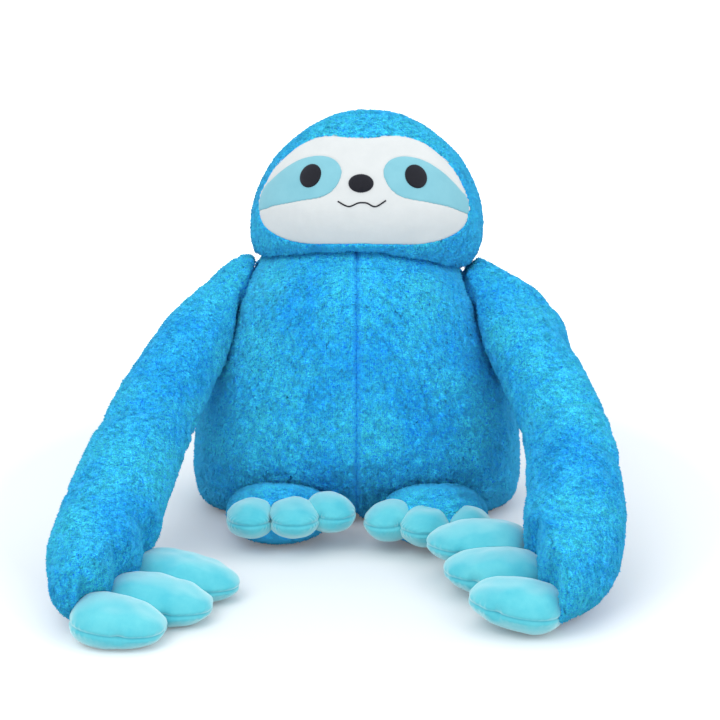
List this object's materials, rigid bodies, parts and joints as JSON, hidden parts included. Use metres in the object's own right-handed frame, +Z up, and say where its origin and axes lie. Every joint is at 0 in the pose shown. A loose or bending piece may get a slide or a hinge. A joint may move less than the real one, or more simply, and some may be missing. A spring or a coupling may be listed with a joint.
{
  "type": "plush sloth",
  "caption": "Jumbo plush sloth sitting on a flat base, with a big head, a masked face, long arms that turn at shoulders and elbows, and soft claws.",
  "frame": {"origin": "the middle of the flat of the body's base, at floor level", "axes": "+Z up; the sloth faces -Y; +X is its own left"},
  "size_m": [0.7705, 0.7531, 0.6],
  "materials": {
    "blue_pile": "long pile plush",
    "aqua_cloth": "short pile plush",
    "white_cloth": "short pile plush",
    "patch_cloth": "short pile plush",
    "dark_thread": "satin embroidery",
    "folded_seam": "folded cloth",
    "stuffing": "polyester fibre"
  },
  "bodies": {
    "torso": {"body_front_left": "blue_pile", "body_front_right": "blue_pile", "body_back": "blue_pile", "body_filling": "stuffing"},
    "neck_seam": {"neck_seam": "folded_seam"},
    "head": {"head_hood": "blue_pile", "face_panel": "white_cloth", "eye_patch_left": "patch_cloth", "eye_patch_right": "patch_cloth", "eye_left": "dark_thread", "eye_right": "dark_thread", "nose": "dark_thread", "mouth_stitching": "dark_thread", "head_filling": "stuffing"},
    "shoulder_seam_left": {"shoulder_seam_left": "folded_seam"},
    "upper_arm_left": {"upper_arm_cover_left": "blue_pile", "upper_arm_filling_left": "stuffing"},
    "forearm_left": {"forearm_cover_left": "blue_pile", "forearm_filling_left": "stuffing", "hand_claw_left_1": "aqua_cloth", "hand_claw_left_2": "aqua_cloth", "hand_claw_left_3": "aqua_cloth"},
    "foot_left": {"foot_cover_left": "blue_pile", "foot_filling_left": "stuffing", "foot_claw_left_1": "aqua_cloth", "foot_claw_left_2": "aqua_cloth", "foot_claw_left_3": "aqua_cloth"},
    "shoulder_seam_right": {"shoulder_seam_right": "folded_seam"},
    "upper_arm_right": {"upper_arm_cover_right": "blue_pile", "upper_arm_filling_right": "stuffing"},
    "forearm_right": {"forearm_cover_right": "blue_pile", "forearm_filling_right": "stuffing", "hand_claw_right_1": "aqua_cloth", "hand_claw_right_2": "aqua_cloth", "hand_claw_right_3": "aqua_cloth"},
    "foot_right": {"foot_cover_right": "blue_pile", "foot_filling_right": "stuffing", "foot_claw_right_1": "aqua_cloth", "foot_claw_right_2": "aqua_cloth", "foot_claw_right_3": "aqua_cloth"}
  },
  "joints": [
    {"name": "neck_turn", "type": "hinge", "parent": "torso", "child": "neck_seam", "pos_m": [0, 0, 0.238], "axis": [0, 0, 1], "range_deg": [-20, 20]},
    {"name": "neck_nod", "type": "hinge", "parent": "neck_seam", "child": "head", "pos_m": [0, 0, 0.238], "axis": [-1, 0, 0], "range_deg": [-8, 5]},
    {"name": "shoulder_swing_left", "type": "hinge", "parent": "torso", "child": "shoulder_seam_left", "pos_m": [0.18, 0, 0.32], "axis": [-1, 0, 0], "range_deg": [0, 55]},
    {"name": "shoulder_spread_left", "type": "hinge", "parent": "shoulder_seam_left", "child": "upper_arm_left", "pos_m": [0.18, 0, 0.32], "axis": [0, -1, 0], "range_deg": [0, 25]},
    {"name": "elbow_bend_left", "type": "hinge", "parent": "upper_arm_left", "child": "forearm_left", "pos_m": [0.287, -0.2, 0.192], "axis": [-0.1277, 0.5047, -0.8538], "range_deg": [-25, 8]},
    {"name": "foot_swing_left", "type": "hinge", "parent": "torso", "child": "foot_left", "pos_m": [0.112, -0.105, 0.006], "axis": [1, 0, 0], "range_deg": [0, 45]},
    {"name": "shoulder_swing_right", "type": "hinge", "parent": "torso", "child": "shoulder_seam_right", "pos_m": [-0.18, 0, 0.32], "axis": [-1, 0, 0], "range_deg": [0, 55]},
    {"name": "shoulder_spread_right", "type": "hinge", "parent": "shoulder_seam_right", "child": "upper_arm_right", "pos_m": [-0.18, 0, 0.32], "axis": [0, 1, 0], "range_deg": [0, 25]},
    {"name": "elbow_bend_right", "type": "hinge", "parent": "upper_arm_right", "child": "forearm_right", "pos_m": [-0.287, -0.2, 0.192], "axis": [-0.172, -0.479, 0.8608], "range_deg": [-25, 25]},
    {"name": "foot_swing_right", "type": "hinge", "parent": "torso", "child": "foot_right", "pos_m": [-0.112, -0.105, 0.006], "axis": [1, 0, 0], "range_deg": [0, 45]}
  ]
}
